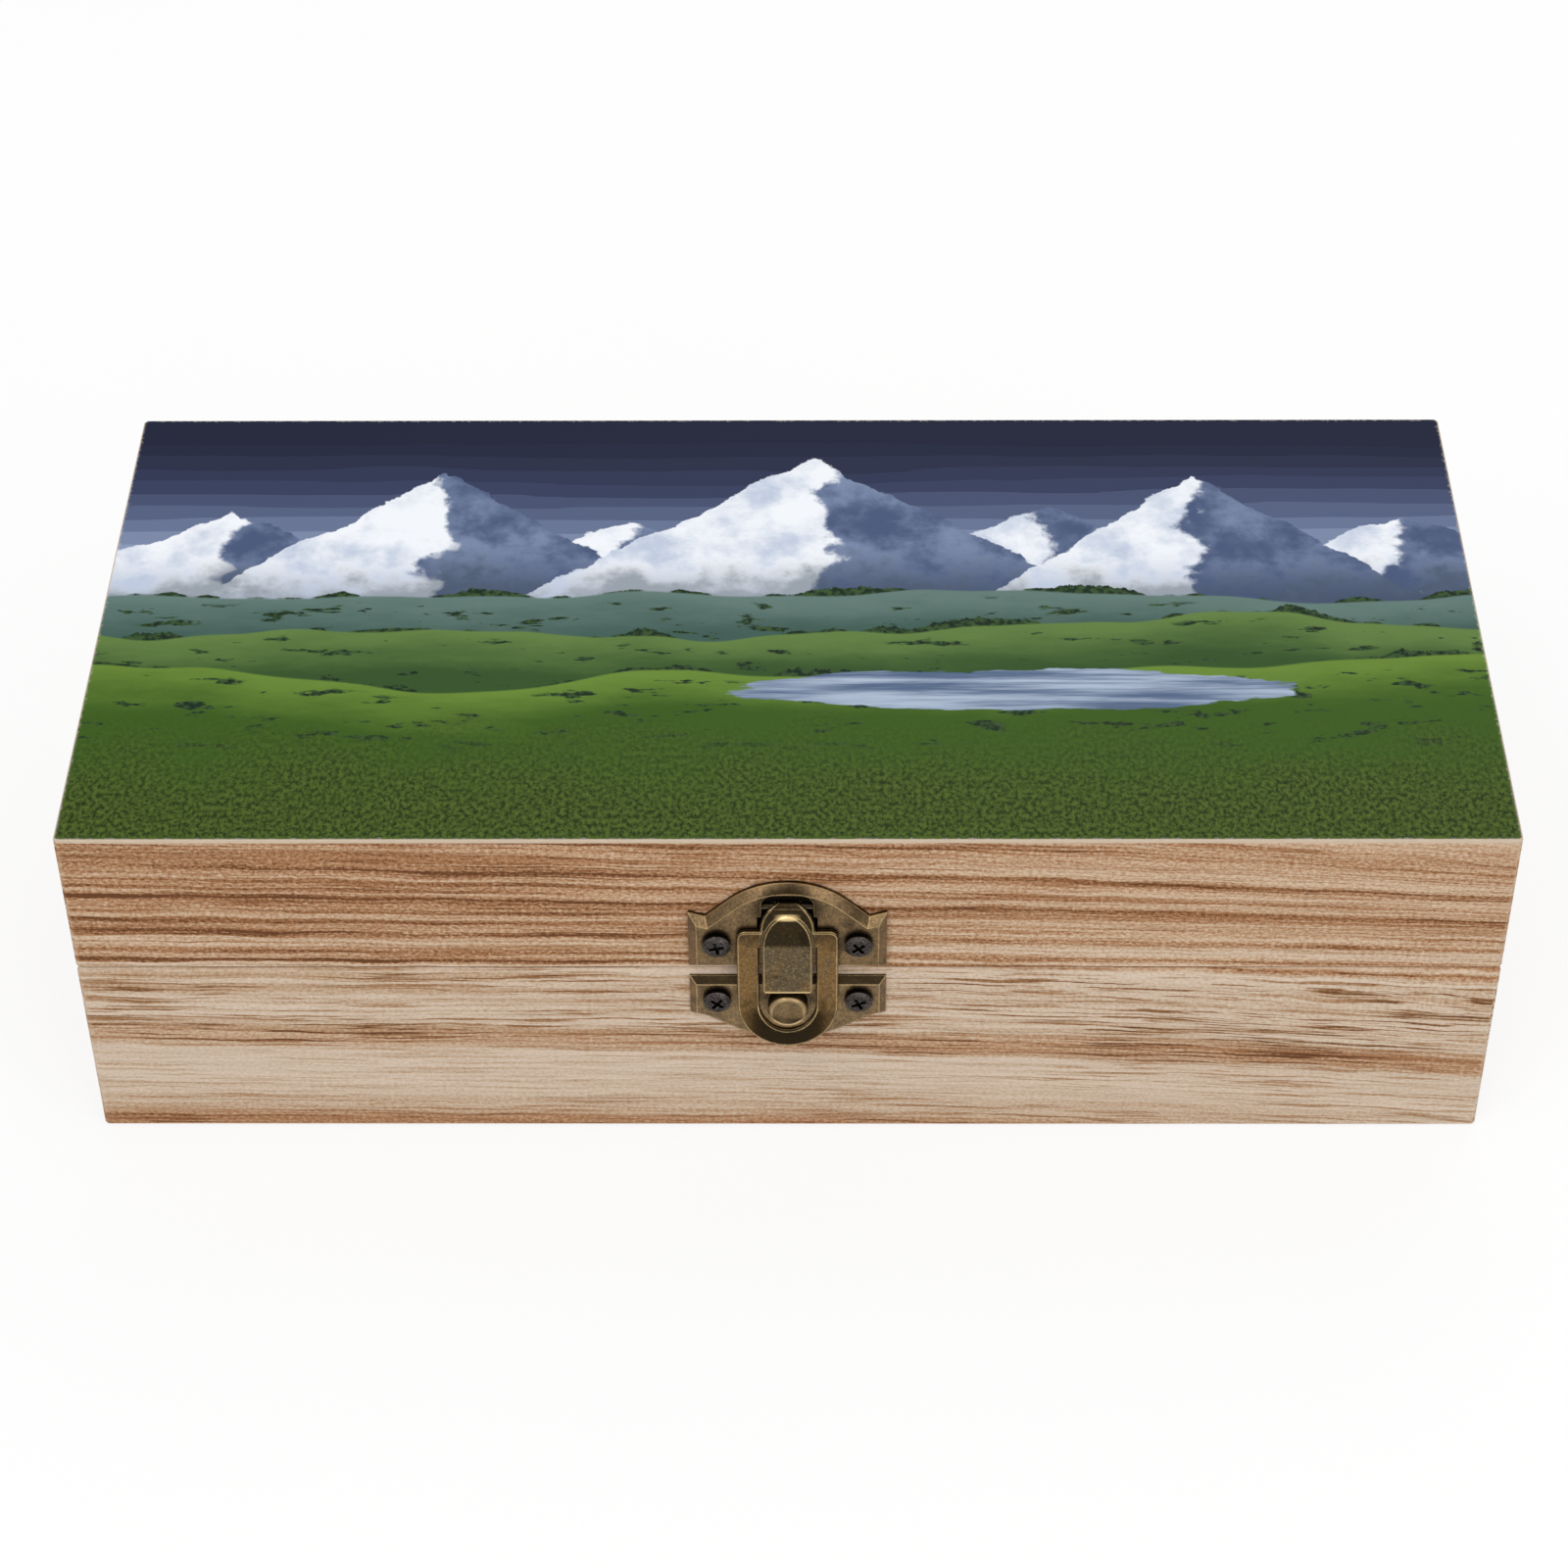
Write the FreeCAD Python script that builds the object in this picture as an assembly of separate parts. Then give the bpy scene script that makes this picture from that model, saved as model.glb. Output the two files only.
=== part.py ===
import FreeCAD, Part
import math
import os

# Wooden storage box with a hinged lid and a hasp latch, all sizes in millimetres.
# X runs along the front, Y from front to back, Z up; the origin is the centre of the underside.
# "Out" is a distance in front of the front face, "rise" a height above the seam of base and lid.

# Carcass
BOX_WIDTH = 210.0
BOX_DEPTH = 100.0
BOX_HEIGHT = 60.0
SEAM_HEIGHT = 34.0
SEAM_GAP = 0.1
WALL_THICKNESS = 7.0
CORNER_LAP = 3.5
PANEL_LEDGE = 3.5
PANEL_FIT = 0.1
BOTTOM_THICKNESS = 3.0
TOP_THICKNESS = 4.0
SHEET_THICKNESS = 0.6
EDGE_EASE = 0.5
SHEET_EASE = 0.2

# Latch plates
PLATE_HALF_WIDTH = 14.5
PLATE_EAR_WIDTH = 2.5
PLATE_ARCH_SHARE = 0.88
HASP_PLATE_THICKNESS = 1.8
HASP_PLATE_BEVEL = 1.2
HASP_PLATE_NEAR_RISE = 1.4
HASP_PLATE_EAR_RISE = 12.2
HASP_PLATE_EAR_STEP = -0.8
HASP_PLATE_ARCH_RISE = 18.1
HASP_SCREW_RISE = 7.2
CATCH_PLATE_THICKNESS = 1.3
CATCH_PLATE_BEVEL = 1.0
CATCH_PLATE_NEAR_DROP = 1.0
CATCH_PLATE_EAR_DROP = 8.6
CATCH_PLATE_EAR_STEP = 0.8
CATCH_PLATE_ARCH_DROP = 14.1

# Hasp pin, its seats and the stepped cut-out round the knuckle
PIN_RADIUS = 0.5
PIN_RISE = 13.9
PIN_SEAT_DEPTH = 1.6
PIN_PLAY = 0.04
KNUCKLE_RADIUS = 0.85
KNUCKLE_CLEARANCE = 0.1
CUTOUT_SIDE_PLAY = 0.45
CUTOUT_STEP = 0.6
CUTOUT_STEP_RISE = 12.4
CUTOUT_TOP_RISE = 16.7
CUTOUT_ROUND = 2.1

# Hasp
HASP_SHEET = 0.8
HASP_GAP = 0.15
HASP_HALF_WIDTH = 7.4
SHOULDER_RISE = 10.1
SHOULDER_ROUND = 1.3
NECK_HALF_WIDTH = 3.95
NECK_SLOPE_DROP = 3.3
NECK_ARCH_RISE = 10.3
NECK_TOP_RISE = 14.95
WINDOW_HALF_WIDTH = 4.2
WINDOW_TOP_RISE = 7.0
BOW_DROP = 4.7
BOW_DEPTH = 4.8
WINDOW_BOW_DEPTH = 3.0
FLARE_DROP = 4.7
FLARE_ANGLE = 39.0
TONGUE_HALF_WIDTH = 3.65
TONGUE_LIFT = 1.2
TONGUE_CREST_LIFT = 0.33
TONGUE_CREST_RISE = 13.0
TONGUE_BREAK_RISE = 8.3
TONGUE_ARCH_RISE = 8.0
TONGUE_END_DROP = 1.3
TONGUE_END_ROUND = 0.6
HASP_BEND_RADIUS = 1.2
TONGUE_BREAK_ROUND = 0.4
HASP_EDGE_EASE = 0.2

# Nose of the catch plate
NOSE_RADIUS = 3.0
NOSE_DROP = 0.7
NOSE_CLEARANCE = 0.5
NOSE_ROUND = 0.8
NOSE_STEPS = 3

# Screws
SCREW_RADIUS = 1.0
SCREW_LENGTH = 6.0
SCREW_SHANK_SIDES = 8
SCREW_HEAD_RADIUS = 2.05
SCREW_HEAD_HEIGHT = 1.3
SCREW_HEAD_RIM = 0.85
SCREW_FLAT_RADIUS = 1.5
CROSS_LENGTH = 2.3
CROSS_WIDTH = 0.5
CROSS_DEPTH = 0.6
SCREW_HOLE_PLAY = 0.15
PILOT_PLAY = 0.05

# Hinges
HINGE_INSET = 43.0
HINGE_LENGTH = 25.0
HINGE_LEAF_HEIGHT = 11.0
HINGE_LEAF_THICKNESS = 0.9
HINGE_LEAF_ROUND = 2.0
HINGE_BARREL_RADIUS = 1.7
HINGE_BARREL_CLEARANCE = 0.05
HINGE_LEAF_CLEARANCE = 0.3
HINGE_KNUCKLES = 3
HINGE_KNUCKLE_GAP = 0.15
HINGE_PIN_RADIUS = 0.85
HINGE_PIN_PLAY = 0.04
HINGE_SCREW_SPACING = 15.0
HINGE_SCREW_OFFSET = 6.6

# Places worked out from the sizes above
FRONT = -1
BACK = 1
UP = 1
DOWN = -1
half_width = BOX_WIDTH / 2
half_depth = BOX_DEPTH / 2
base_top = SEAM_HEIGHT - SEAM_GAP / 2
lid_bottom = SEAM_HEIGHT + SEAM_GAP / 2
lid_wall_top = BOX_HEIGHT - SHEET_THICKNESS
pin_out = KNUCKLE_RADIUS + KNUCKLE_CLEARANCE
pin_z = SEAM_HEIGHT + PIN_RISE
cutout_side = NECK_HALF_WIDTH + CUTOUT_SIDE_PLAY
pin_reach = cutout_side - CUTOUT_STEP + PIN_SEAT_DEPTH
shoulder_z = SEAM_HEIGHT + SHOULDER_RISE
hasp_back = HASP_PLATE_THICKNESS + HASP_GAP
hasp_front = hasp_back + HASP_SHEET
flare_z = SEAM_HEIGHT - FLARE_DROP
flare_slope = math.tan(math.radians(FLARE_ANGLE))
bow_z = SEAM_HEIGHT - BOW_DROP
window_bottom = bow_z - WINDOW_BOW_DEPTH
hasp_bottom = bow_z - BOW_DEPTH
hinge_axis_y = half_depth + HINGE_BARREL_RADIUS + HINGE_BARREL_CLEARANCE
hinge_places = {"left": HINGE_INSET - half_width, "right": half_width - HINGE_INSET}
hasp_screw_x = (HASP_HALF_WIDTH + PLATE_HALF_WIDTH - HASP_PLATE_BEVEL) / 2
catch_screw_x = (HASP_HALF_WIDTH + PLATE_HALF_WIDTH - CATCH_PLATE_BEVEL) / 2
hasp_screw_z = SEAM_HEIGHT + HASP_SCREW_RISE
catch_screw_z = SEAM_HEIGHT - (CATCH_PLATE_NEAR_DROP + CATCH_PLATE_EAR_DROP) / 2


def vector(x, y, z):
    return FreeCAD.Vector(x, y, z)


ORIGIN = vector(0, 0, 0)
X_AXIS = vector(1, 0, 0)
Z_AXIS = vector(0, 0, 1)


def block(x_range, y_range, z_range):
    """Box between the given limits."""
    (x0, x1), (y0, y1), (z0, z1) = x_range, y_range, z_range
    return Part.makeBox(x1 - x0, y1 - y0, z1 - z0, vector(x0, y0, z0))


def rod(radius, x0, x1, y, z):
    """Cylinder along X."""
    return Part.makeCylinder(radius, x1 - x0, vector(x0, y, z), X_AXIS)


def line(start, end):
    """Straight edge of a front outline, between two (x, z) points."""
    return Part.makeLine(vector(*start, 0), vector(*end, 0))


def arc(start, middle, end):
    """Circular edge of a front outline through three (x, z) points."""
    return Part.Arc(vector(*start, 0), vector(*middle, 0), vector(*end, 0)).toShape()


def turn(start, corner, end):
    """Quarter of an ellipse that leaves start and reaches end along the lines to the corner."""
    reach = 0.5523
    first = [s + (c - s) * reach for s, c in zip(start, corner)]
    second = [e + (c - e) * reach for e, c in zip(end, corner)]
    curve = Part.BezierCurve()
    curve.setPoles([vector(*point, 0) for point in (start, first, second, end)])
    return curve.toShape()


def front_solid(right_half, out_from, out_to):
    """Solid whose front outline is the given right half and its mirror image."""
    left_half = [edge.mirror(ORIGIN, X_AXIS) for edge in right_half]
    wire = Part.Wire(Part.sortEdges(right_half + left_half)[0])
    face = Part.Face(wire)
    face.rotate(ORIGIN, X_AXIS, 90)
    face.translate(vector(0, -half_depth - out_from, 0))
    return face.extrude(vector(0, out_from - out_to, 0)).removeSplitter()


def side_solid(points, half_length):
    """Solid with a polygon of (out, z) points as its side outline, centred on X."""
    corners = [vector(-half_length, -half_depth - out, z) for out, z in points]
    face = Part.Face(Part.makePolygon(corners + corners[:1]))
    return face.extrude(vector(2 * half_length, 0, 0))


def along_x(shape, places):
    """Edges of a side solid that run along X through the given (out, z) places."""
    edges = [edge for edge in shape.Edges if edge.BoundBox.XLength > 1 and edge.BoundBox.ZLength < 0.001]
    return [
        edge
        for edge in edges
        for out, z in places
        if math.hypot(edge.CenterOfMass.y + half_depth + out, edge.CenterOfMass.z - z) < 0.001
    ]


def eased_front(shape, size, top_z):
    """Shape with the rim of its front side chamfered below the given height."""
    rim = []
    for edge in shape.Edges:
        faces = shape.ancestorsOfType(edge, Part.Face)
        fronts = [faces_out(face, edge) for face in faces]
        if fronts.count(True) == 1 and edge.BoundBox.ZMin < top_z - 0.001:
            rim.append(edge)
    return shape.makeChamfer(size, rim)


def faces_out(face, edge):
    """Whether the face looks forward where it meets the edge."""
    point = edge.valueAt((edge.FirstParameter + edge.LastParameter) / 2)
    return face.normalAt(*face.Surface.parameter(point)).y < -0.5


def on_face(shape, x, z, facing, out=0.0):
    """Shape that points along +Z, turned to point out of the front or the back face."""
    placed = shape.copy()
    placed.rotate(ORIGIN, X_AXIS, -90 * facing)
    placed.translate(vector(x, facing * (half_depth + out), z))
    return placed


# Wooden boards: the long boards lap over the ends of the side boards at the corners


def eased_carcass(z0, z1, ease_top):
    """Outer form of the base or the lid with its arrises eased."""
    form = block((-half_width, half_width), (-half_depth, half_depth), (z0, z1))
    edges = [edge for edge in form.Edges if ease_top or edge.BoundBox.ZMin < z1 - EDGE_EASE]
    return form.makeChamfer(EDGE_EASE, edges)


def panel(z0, z1, play):
    """Panel that fills the rebate of the four walls, less the play on each side."""
    x = half_width - WALL_THICKNESS + PANEL_LEDGE - play
    y = half_depth - WALL_THICKNESS + PANEL_LEDGE - play
    return block((-x, x), (-y, y), (z0, z1))


def walls(name, form, rebate):
    """Four boards cut from the outer form, with the rebate for the panel."""
    heights = (form.BoundBox.ZMin, form.BoundBox.ZMax)
    side_end = half_depth - CORNER_LAP
    inside_x = half_width - WALL_THICKNESS
    inside_y = half_depth - WALL_THICKNESS
    left = block((-half_width, -inside_x), (-side_end, side_end), heights)
    right = block((inside_x, half_width), (-side_end, side_end), heights)
    front = block((-half_width, half_width), (-half_depth, -inside_y), heights).cut(left).cut(right)
    back = block((-half_width, half_width), (inside_y, half_depth), heights).cut(left).cut(right)
    boards = {"front": front, "back": back, "left": left, "right": right}
    return {f"{name}_{side}_wall": form.common(board).cut(rebate) for side, board in boards.items()}


def shank(radius, length):
    """Hidden many-sided shank along Z, down from the origin; it stands for the thread."""
    angles = [2 * math.pi * side / SCREW_SHANK_SIDES for side in range(SCREW_SHANK_SIDES + 1)]
    corners = [vector(radius * math.cos(angle), radius * math.sin(angle), 0) for angle in angles]
    return Part.Face(Part.makePolygon(corners)).extrude(vector(0, 0, -length))


def drilled(wall, places, facing):
    """Wall with a pilot hole for a screw at each (x, z, out) place, out being the plate's thickness."""
    for x, z, out in places:
        pilot = shank(SCREW_RADIUS + PILOT_PLAY, SCREW_LENGTH + PILOT_PLAY)
        wall = wall.cut(on_face(pilot, x, z, facing, out))
    return wall


# Screws: pan heads with a cross recess


def screw(turn_angle):
    """Screw along Z with the underside of its head at the origin."""
    outline = [
        (0, 0),
        (SCREW_HEAD_RADIUS, 0),
        (SCREW_HEAD_RADIUS, SCREW_HEAD_RIM),
        (SCREW_FLAT_RADIUS, SCREW_HEAD_HEIGHT),
        (0, SCREW_HEAD_HEIGHT),
        (0, 0),
    ]
    profile = Part.Face(Part.makePolygon([vector(x, 0, z) for x, z in outline]))
    head = profile.revolve(ORIGIN, Z_AXIS, 360)
    reach = CROSS_LENGTH / 2
    wide = CROSS_WIDTH / 2
    depth = (SCREW_HEAD_HEIGHT - CROSS_DEPTH, SCREW_HEAD_HEIGHT + 1)
    slots = block((-reach, reach), (-wide, wide), depth).fuse(block((-wide, wide), (-reach, reach), depth))
    head = head.cut(slots.removeSplitter())
    head.rotate(ORIGIN, Z_AXIS, turn_angle)
    return head.fuse(shank(SCREW_RADIUS, SCREW_LENGTH)).removeSplitter()


def screw_group(places, facing, turn_angles):
    """Identical screws of one plate or leaf, one separate solid each."""
    solids = [
        on_face(screw(angle), x, z, facing, out) for (x, z, out), angle in zip(places, turn_angles)
    ]
    return Part.makeCompound(solids)


# Latch plates: a straight edge at the seam, ears at the sides and an arch between them


def latch_plate(near, ear, ear_step, far, direction, thickness, bevel):
    """Bevelled plate whose heights are measured from the seam, up or down; the ear's end slopes by its step."""
    ear_x = PLATE_HALF_WIDTH - PLATE_EAR_WIDTH
    ear_root = ear + ear_step
    arch_height = far - ear_root
    radius = PLATE_ARCH_SHARE * (ear_x ** 2 + arch_height ** 2) / (2 * arch_height)
    centre = far - radius
    to_ear = math.hypot(ear_x, ear_root - centre)
    angle = math.atan2(ear_root - centre, ear_x) + math.acos(radius / to_ear)
    halfway = (angle + math.pi / 2) / 2

    def at(x, height):
        return (x, SEAM_HEIGHT + direction * height)

    tangent = at(radius * math.cos(angle), centre + radius * math.sin(angle))
    middle = at(radius * math.cos(halfway), centre + radius * math.sin(halfway))
    right_half = [
        line(at(0, near), at(PLATE_HALF_WIDTH, near)),
        line(at(PLATE_HALF_WIDTH, near), at(PLATE_HALF_WIDTH, ear)),
        line(at(PLATE_HALF_WIDTH, ear), at(ear_x, ear_root)),
        line(at(ear_x, ear_root), tangent),
        arc(tangent, middle, at(0, far)),
    ]
    plate = front_solid(right_half, 0, thickness)
    face_y = -half_depth - thickness
    rim = [edge for edge in plate.Edges if edge.BoundBox.YMax < face_y + 0.001]
    return plate.makeChamfer(bevel, rim)


def with_screw_holes(plate, places, facing):
    """Plate or leaf with a clearance hole for each screw."""
    for x, z, out in places:
        hole = Part.makeCylinder(SCREW_RADIUS + SCREW_HOLE_PLAY, 2 * out, vector(0, 0, -out / 2))
        plate = plate.cut(on_face(hole, x, z, facing))
    return plate


def hasp_plate():
    """Upper plate with the stepped cut-out and the two seats for the hasp pin, open at the back."""
    plate = latch_plate(
        HASP_PLATE_NEAR_RISE,
        HASP_PLATE_EAR_RISE,
        HASP_PLATE_EAR_STEP,
        HASP_PLATE_ARCH_RISE,
        UP,
        HASP_PLATE_THICKNESS,
        HASP_PLATE_BEVEL,
    )
    narrow = cutout_side - CUTOUT_STEP
    step_z = SEAM_HEIGHT + CUTOUT_STEP_RISE
    top = SEAM_HEIGHT + CUTOUT_TOP_RISE
    bottom = pin_z - NECK_SLOPE_DROP - HASP_SHEET
    cutout = front_solid(
        [
            line((0, bottom), (cutout_side, bottom)),
            line((cutout_side, bottom), (cutout_side, step_z)),
            line((cutout_side, step_z), (narrow, step_z)),
            line((narrow, step_z), (narrow, top - CUTOUT_ROUND)),
            turn((narrow, top - CUTOUT_ROUND), (narrow, top), (narrow - CUTOUT_ROUND, top)),
            line((narrow - CUTOUT_ROUND, top), (0, top)),
        ],
        -1,
        HASP_PLATE_THICKNESS + 1,
    )
    seat_radius = PIN_RADIUS + PIN_PLAY
    seat = rod(seat_radius, -pin_reach, pin_reach, -half_depth - pin_out, pin_z)
    slot = block(
        (-pin_reach, pin_reach),
        (-half_depth - pin_out, -half_depth + 1),
        (pin_z - seat_radius, pin_z + seat_radius),
    )
    return plate.cut(cutout).cut(seat).cut(slot)


def hasp_pin():
    """Pin that lies in the two seats and carries the knuckle of the hasp."""
    reach = pin_reach - PIN_PLAY
    return rod(PIN_RADIUS, -reach, reach, -half_depth - pin_out, pin_z)


def catch_plate():
    """Lower plate with the round nose that stands in the window of the hasp and dips behind its lip."""
    plate = latch_plate(
        CATCH_PLATE_NEAR_DROP,
        CATCH_PLATE_EAR_DROP,
        CATCH_PLATE_EAR_STEP,
        CATCH_PLATE_ARCH_DROP,
        DOWN,
        CATCH_PLATE_THICKNESS,
        CATCH_PLATE_BEVEL,
    )
    crossbar_back = hasp_back + (flare_z - window_bottom) * flare_slope
    height = crossbar_back - NOSE_CLEARANCE
    outline = [(0, 0), (NOSE_RADIUS, 0)]
    for step in range(NOSE_STEPS + 1):
        angle = math.radians(90 * step / NOSE_STEPS)
        x = NOSE_RADIUS - NOSE_ROUND * (1 - math.cos(angle))
        outline.append((x, height - NOSE_ROUND * (1 - math.sin(angle))))
    outline += [(0, height), (0, 0)]
    profile = Part.Face(Part.makePolygon([vector(x, 0, z) for x, z in outline]))
    nose = profile.revolve(ORIGIN, Z_AXIS, 360)
    nose_z = window_bottom - NOSE_DROP + NOSE_RADIUS
    return plate.fuse(on_face(nose, 0, nose_z, FRONT)).removeSplitter()


# Hasp: loop, tongue and knuckle in one stamping


def neck_outline():
    """Arched right half of the neck, from its top to the shoulder."""
    top = SEAM_HEIGHT + NECK_TOP_RISE
    spring = SEAM_HEIGHT + NECK_ARCH_RISE
    return [
        turn((0, top), (NECK_HALF_WIDTH, top), (NECK_HALF_WIDTH, spring)),
        line((NECK_HALF_WIDTH, spring), (NECK_HALF_WIDTH, shoulder_z)),
    ]


def hasp_loop():
    """Flat loop with a sloped neck and an out-turned thumb lip, before the knuckle is added."""
    outer = front_solid(
        neck_outline()
        + [
            line((NECK_HALF_WIDTH, shoulder_z), (HASP_HALF_WIDTH - SHOULDER_ROUND, shoulder_z)),
            turn(
                (HASP_HALF_WIDTH - SHOULDER_ROUND, shoulder_z),
                (HASP_HALF_WIDTH, shoulder_z),
                (HASP_HALF_WIDTH, shoulder_z - SHOULDER_ROUND),
            ),
            line((HASP_HALF_WIDTH, shoulder_z - SHOULDER_ROUND), (HASP_HALF_WIDTH, bow_z)),
            turn((HASP_HALF_WIDTH, bow_z), (HASP_HALF_WIDTH, hasp_bottom), (0, hasp_bottom)),
        ],
        0,
        BOX_DEPTH,
    )
    window_top = SEAM_HEIGHT + WINDOW_TOP_RISE
    window = front_solid(
        [
            line((0, window_top), (WINDOW_HALF_WIDTH, window_top)),
            line((WINDOW_HALF_WIDTH, window_top), (WINDOW_HALF_WIDTH, bow_z)),
            turn((WINDOW_HALF_WIDTH, bow_z), (WINDOW_HALF_WIDTH, window_bottom), (0, window_bottom)),
        ],
        0,
        BOX_DEPTH,
    )
    slope_z = pin_z - NECK_SLOPE_DROP
    lip_z = hasp_bottom - HASP_SHEET
    lip_out = (flare_z - lip_z) * flare_slope
    strip = side_solid(
        [
            (pin_out, pin_z),
            (pin_out + KNUCKLE_RADIUS, pin_z),
            (hasp_front, slope_z),
            (hasp_front, flare_z),
            (hasp_front + lip_out, lip_z),
            (hasp_back + lip_out, lip_z),
            (hasp_back, flare_z),
            (hasp_back, slope_z),
        ],
        HASP_HALF_WIDTH + 1,
    )
    bends = [(hasp_front, slope_z), (hasp_front, flare_z), (hasp_back, slope_z), (hasp_back, flare_z)]
    strip = strip.makeFillet(HASP_BEND_RADIUS, along_x(strip, bends))
    return eased_front(strip.common(outer).cut(window), HASP_EDGE_EASE, pin_z)


def hasp_tongue():
    """Raised tongue with an arched top and a sloped upper facet."""
    crest_z = SEAM_HEIGHT + TONGUE_CREST_RISE
    arch_z = SEAM_HEIGHT + TONGUE_ARCH_RISE
    break_z = SEAM_HEIGHT + TONGUE_BREAK_RISE
    end_z = SEAM_HEIGHT - TONGUE_END_DROP
    window_top = SEAM_HEIGHT + WINDOW_TOP_RISE
    slope_z = pin_z - NECK_SLOPE_DROP
    side = TONGUE_HALF_WIDTH
    outline = front_solid(
        [
            line((0, end_z), (side - TONGUE_END_ROUND, end_z)),
            turn((side - TONGUE_END_ROUND, end_z), (side, end_z), (side, end_z + TONGUE_END_ROUND)),
            line((side, end_z + TONGUE_END_ROUND), (side, arch_z)),
            turn((side, arch_z), (side, crest_z), (0, crest_z)),
        ],
        0,
        BOX_DEPTH,
    )
    front = hasp_front + TONGUE_LIFT
    back = front - HASP_SHEET
    middle = (hasp_back + hasp_front) / 2
    neck_share = (pin_z - crest_z) / NECK_SLOPE_DROP
    neck_front = pin_out + KNUCKLE_RADIUS
    crest_front = neck_front + neck_share * (hasp_front - neck_front) + TONGUE_CREST_LIFT
    crest_middle = pin_out + KNUCKLE_RADIUS / 2 + neck_share * (middle - pin_out - KNUCKLE_RADIUS / 2)
    strip = side_solid(
        [
            (crest_middle, crest_z),
            (crest_front, crest_z),
            (front, break_z),
            (front, end_z),
            (back, end_z),
            (back, window_top),
            (middle, window_top),
            (middle, slope_z),
        ],
        TONGUE_HALF_WIDTH + 1,
    )
    strip = strip.makeFillet(TONGUE_BREAK_ROUND, along_x(strip, [(front, break_z)]))
    return eased_front(strip.common(outline), HASP_EDGE_EASE, BOX_HEIGHT)


def hasp():
    """Loop, tongue and knuckle fused, with the bore for the pin; the arch of the neck rounds off the knuckle."""
    neck = front_solid(neck_outline() + [line((NECK_HALF_WIDTH, shoulder_z), (0, shoulder_z))], 0, BOX_DEPTH)
    knuckle = rod(KNUCKLE_RADIUS, -cutout_side, cutout_side, -half_depth - pin_out, pin_z).common(neck)
    bore = rod(PIN_RADIUS + PIN_PLAY, -cutout_side, cutout_side, -half_depth - pin_out, pin_z)
    return hasp_loop().fuse([hasp_tongue(), knuckle]).removeSplitter().cut(bore)


# Hinges: two leaves with alternating knuckles round one pin


def hinge_screw_places(x, direction):
    z = SEAM_HEIGHT + direction * HINGE_SCREW_OFFSET
    half = HINGE_SCREW_SPACING / 2
    return [(x - half, z, HINGE_LEAF_THICKNESS), (x + half, z, HINGE_LEAF_THICKNESS)]


def hinge_leaf(x, direction):
    """Leaf below or above the pin; the lower leaf has the outer knuckles."""
    near = HINGE_BARREL_RADIUS + HINGE_LEAF_CLEARANCE
    across = (half_depth, half_depth + HINGE_LEAF_THICKNESS)
    start = x - HINGE_LENGTH / 2

    def heights(first, last):
        return tuple(sorted((SEAM_HEIGHT + direction * first, SEAM_HEIGHT + direction * last)))

    leaf = block((start, start + HINGE_LENGTH), across, heights(near, HINGE_LEAF_HEIGHT))
    free_z = SEAM_HEIGHT + direction * HINGE_LEAF_HEIGHT
    corners = [
        edge
        for edge in leaf.Edges
        if edge.BoundBox.YLength > HINGE_LEAF_THICKNESS / 2 and abs(edge.CenterOfMass.z - free_z) < 0.001
    ]
    leaf = leaf.makeFillet(HINGE_LEAF_ROUND, corners)
    pitch = HINGE_LENGTH / HINGE_KNUCKLES
    first = 0 if direction == DOWN else 1
    for index in range(first, HINGE_KNUCKLES, 2):
        x0 = start + index * pitch + HINGE_KNUCKLE_GAP / 2
        x1 = start + (index + 1) * pitch - HINGE_KNUCKLE_GAP / 2
        strap = block((x0, x1), across, heights(0, near))
        barrel = rod(HINGE_BARREL_RADIUS, x0, x1, hinge_axis_y, SEAM_HEIGHT)
        leaf = leaf.fuse([strap, barrel])
    bore_radius = HINGE_PIN_RADIUS + HINGE_PIN_PLAY
    bore = rod(bore_radius, start - 1, start + HINGE_LENGTH + 1, hinge_axis_y, SEAM_HEIGHT)
    return with_screw_holes(leaf.removeSplitter().cut(bore), hinge_screw_places(x, direction), BACK)


def hinge_pin(x):
    """Plain pin, flush with the ends of the knuckles."""
    half = HINGE_LENGTH / 2
    return rod(HINGE_PIN_RADIUS, x - half, x + half, hinge_axis_y, SEAM_HEIGHT)


# Assembly

parts = {}

base_rebate = panel(0, BOTTOM_THICKNESS, 0)
parts.update(walls("base", eased_carcass(0, base_top, True), base_rebate))
parts["base_bottom_panel"] = panel(0, BOTTOM_THICKNESS, PANEL_FIT)

lid_panel_bottom = lid_wall_top - TOP_THICKNESS
lid_rebate = panel(lid_panel_bottom, lid_wall_top, 0)
parts.update(walls("lid", eased_carcass(lid_bottom, lid_wall_top, False), lid_rebate))
parts["lid_top_panel"] = panel(lid_panel_bottom, lid_wall_top, PANEL_FIT)

sheet = block((-half_width, half_width), (-half_depth, half_depth), (lid_wall_top, BOX_HEIGHT))
sheet = sheet.makeChamfer(EDGE_EASE, [edge for edge in sheet.Edges if edge.BoundBox.ZLength > 0.01])
sheet_rim = [edge for edge in sheet.Edges if edge.BoundBox.ZMin > BOX_HEIGHT - 0.001]
parts["lid_picture_sheet"] = sheet.makeChamfer(SHEET_EASE, sheet_rim)

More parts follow.
